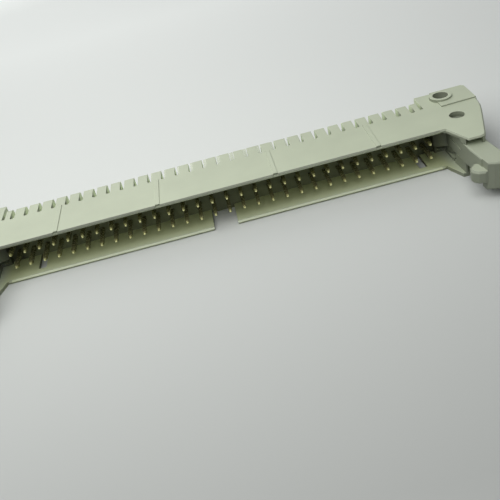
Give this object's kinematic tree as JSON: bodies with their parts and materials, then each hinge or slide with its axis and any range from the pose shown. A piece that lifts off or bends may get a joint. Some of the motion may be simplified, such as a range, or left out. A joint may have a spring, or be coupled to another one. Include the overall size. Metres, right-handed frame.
{
  "type": "box pin header with latches",
  "caption": "Two-row box header for flat cable: pointed square contacts in a four-walled mouth, a comb behind, and a swinging retainer latch at each end.",
  "frame": {"origin": "half way between the two mounting holes, on the seat (the underside of both end flanges)", "axes": "+X along the rows of contacts, -Y out of the mouth, +Z away from the seat, along the mounting holes"},
  "size_m": [0.096, 0.0294, 0.0082],
  "materials": {
    "housing": "fine matt",
    "latch": "fine matt",
    "contacts": "gold plated, tinned at the tail"
  },
  "bodies": {
    "housing": {"housing": "housing", "contacts_01": "contacts", "contacts_02": "contacts", "contacts_03": "contacts", "contacts_04": "contacts", "contacts_05": "contacts", "contacts_06": "contacts", "contacts_07": "contacts", "contacts_08": "contacts", "contacts_09": "contacts", "contacts_10": "contacts", "contacts_11": "contacts", "contacts_12": "contacts", "contacts_13": "contacts", "contacts_14": "contacts", "contacts_15": "contacts", "contacts_16": "contacts", "contacts_17": "contacts", "contacts_18": "contacts", "contacts_19": "contacts", "contacts_20": "contacts", "contacts_21": "contacts", "contacts_22": "contacts", "contacts_23": "contacts", "contacts_24": "contacts", "contacts_25": "contacts", "contacts_26": "contacts", "contacts_27": "contacts", "contacts_28": "contacts", "contacts_29": "contacts", "contacts_30": "contacts"},
    "latch_left": {"latch_left": "latch"},
    "latch_right": {"latch_right": "latch"}
  },
  "joints": [
    {"name": "latch_left_swing", "type": "hinge", "parent": "housing", "child": "latch_left", "pos_m": [-0.0428, -0.00779, 0.00382], "axis": [0, 0, -1], "range_deg": [-5.5, 30]},
    {"name": "latch_right_swing", "type": "hinge", "parent": "housing", "child": "latch_right", "pos_m": [0.0428, -0.00779, 0.00382], "axis": [0, 0, 1], "range_deg": [-5.5, 30]}
  ]
}
